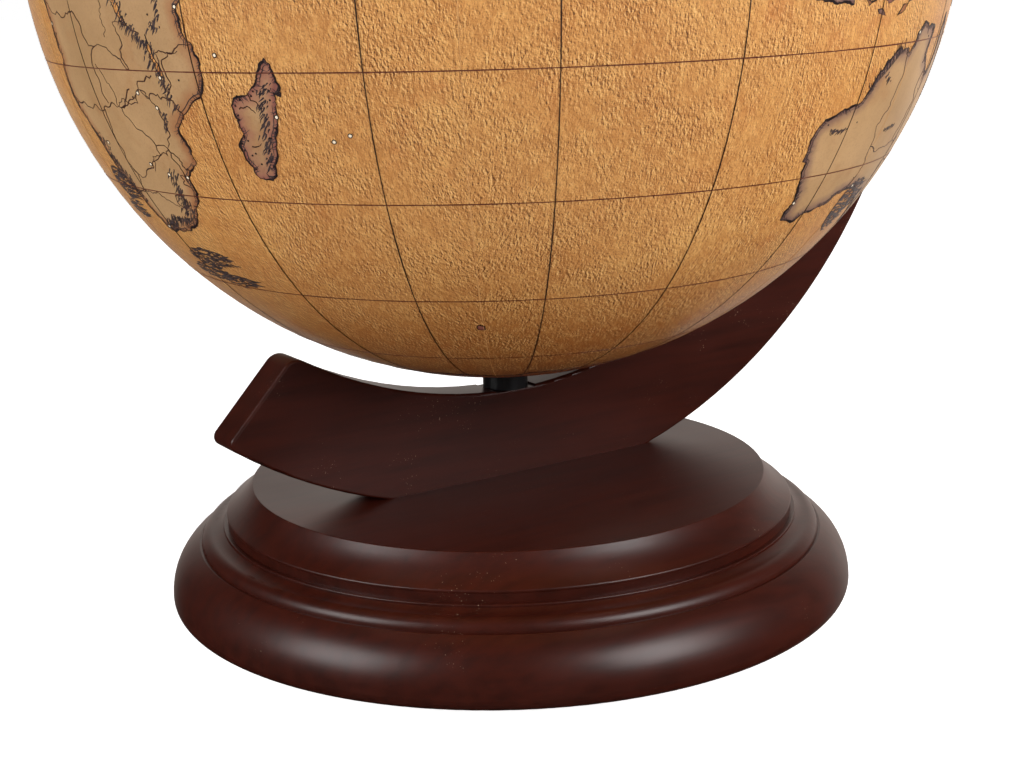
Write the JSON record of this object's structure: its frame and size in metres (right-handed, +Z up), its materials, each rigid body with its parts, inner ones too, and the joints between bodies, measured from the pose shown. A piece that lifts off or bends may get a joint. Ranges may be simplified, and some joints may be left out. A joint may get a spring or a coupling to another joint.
{
  "type": "desktop globe on stand",
  "caption": "Antique-style desktop globe turning on a vertical axle in a flat wooden crescent arm, on a round turned base.",
  "frame": {"origin": "on the floor, at the foot of the ball's vertical spin axis and the centre of the felt disc's underside", "axes": "+Z up along the spin axis; the arm lies in the XZ plane and bows out towards +X; +Y is level, across the arm"},
  "size_m": [0.3409, 0.3004, 0.4099],
  "materials": {
    "stained_wood": "dark mahogany stain under satin lacquer",
    "felt": "dark brown wool felt",
    "steel": "zinc-plated steel",
    "black_plastic": "moulded black plastic",
    "fibre": "dark vulcanised fibre",
    "shell_plastic": "off-white moulded plastic",
    "printed_map": "antique golden map print under gloss varnish",
    "printed_tape": "printed paper tape under gloss varnish"
  },
  "bodies": {
    "stand": {"turned_base": "stained_wood", "felt_disc": "felt", "meridian_arm": "stained_wood", "arm_screws": "steel", "screw_washers": "steel", "axle_bolt": "steel", "axle_bolt_washer": "steel", "south_spacer": "black_plastic", "friction_washer": "fibre", "north_pin": "steel", "north_spacer": "black_plastic"},
    "ball": {"northern_shell": "shell_plastic", "southern_shell": "shell_plastic", "northern_map": "printed_map", "southern_map": "printed_map", "joint_ring": "shell_plastic", "equator_tape": "printed_tape", "south_bush": "black_plastic", "north_bush": "black_plastic", "south_collar": "shell_plastic", "north_collar": "shell_plastic"}
  },
  "joints": [
    {"name": "ball_spin", "type": "hinge", "parent": "stand", "child": "ball", "pos_m": [0, 0, 0.229], "axis": [0, 0, 1], "continuous": true}
  ]
}
